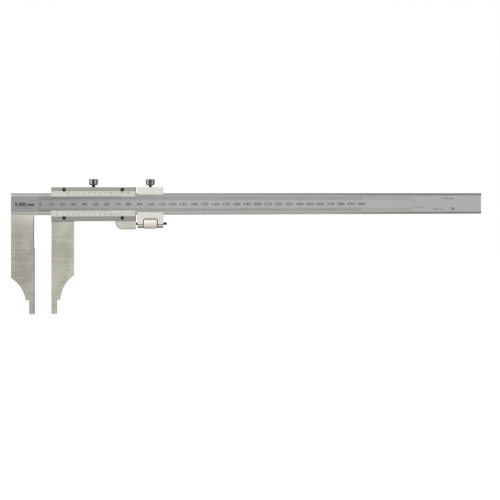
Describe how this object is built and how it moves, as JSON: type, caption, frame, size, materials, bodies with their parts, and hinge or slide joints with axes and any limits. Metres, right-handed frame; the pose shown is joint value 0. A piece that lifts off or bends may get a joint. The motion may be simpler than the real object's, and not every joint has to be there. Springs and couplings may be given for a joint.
{
  "type": "vernier caliper",
  "caption": "Long-jaw vernier caliper with nib tips, a sliding jaw and a screw-fed fine adjustment carriage for measuring outside and inside sizes.",
  "frame": {"origin": "centre of the fixed jaw's measuring face, in the middle of the jaw's thickness", "axes": "+X along the beam away from the fixed jaw, +Z from the jaw tips up to the clamp screws, the scale faces -Y"},
  "size_m": [0.445, 0.0098, 0.123],
  "materials": {
    "beam_steel": "satin chromed scale face, ground edges and jaw",
    "slider_steel": "satin chromed body, ground jaw and feed lug",
    "plate_chrome": "pale matt chrome with black filled graduations",
    "dark_screw_steel": "blackened steel",
    "gib_bronze": "plain rolled phosphor bronze",
    "clamp_screw_steel": "fluted bright steel with a dark shank",
    "feed_screw_steel": "threaded steel, oiled",
    "nut_steel": "straight-knurled matt chrome",
    "carriage_steel": "pale matt chrome, bright bevels",
    "graduation_ink": "black paint rubbed into engraved lines and digits"
  },
  "bodies": {
    "beam": {"main_beam": "beam_steel"},
    "slider": {"slider_body": "slider_steel", "upper_vernier_plate": "plate_chrome", "lower_vernier_plate": "plate_chrome", "upper_vernier_screws": "dark_screw_steel", "lower_vernier_screws": "dark_screw_steel", "slider_gib": "gib_bronze", "gib_set_screws": "dark_screw_steel", "feed_screw": "feed_screw_steel", "feed_screw_pin": "dark_screw_steel"},
    "carriage": {"carriage_body": "carriage_steel", "carriage_gib": "gib_bronze"},
    "feed_nut": {"fine_adjust_nut": "nut_steel"},
    "slider_clamp": {"slider_clamp_screw": "clamp_screw_steel"},
    "carriage_clamp": {"carriage_clamp_screw": "clamp_screw_steel"}
  },
  "joints": [
    {"name": "slider_slide", "type": "slide", "parent": "beam", "child": "slider", "axis": [1, 0, 0], "range_m": [-0.015, 0.285]},
    {"name": "fine_feed", "type": "slide", "parent": "slider", "child": "carriage", "axis": [1, 0, 0], "range_m": [-0.0012, 0.00585]},
    {"name": "nut_spin", "type": "hinge", "parent": "carriage", "child": "feed_nut", "pos_m": [0.1046, 0, 0.0518], "axis": [1, 0, 0], "range_deg": [-965, 4685]},
    {"name": "slider_clamp_turn", "type": "hinge", "parent": "slider", "child": "slider_clamp", "pos_m": [0.0528, 0, 0.09], "axis": [0, 0, 1], "range_deg": [-30, 540]},
    {"name": "carriage_clamp_turn", "type": "hinge", "parent": "carriage", "child": "carriage_clamp", "pos_m": [0.1047, 0, 0.09], "axis": [0, 0, 1], "range_deg": [-30, 540]}
  ],
  "couplings": [
    {"joint": "nut_spin", "follows": "fine_feed", "rad_per_m": 13963}
  ]
}
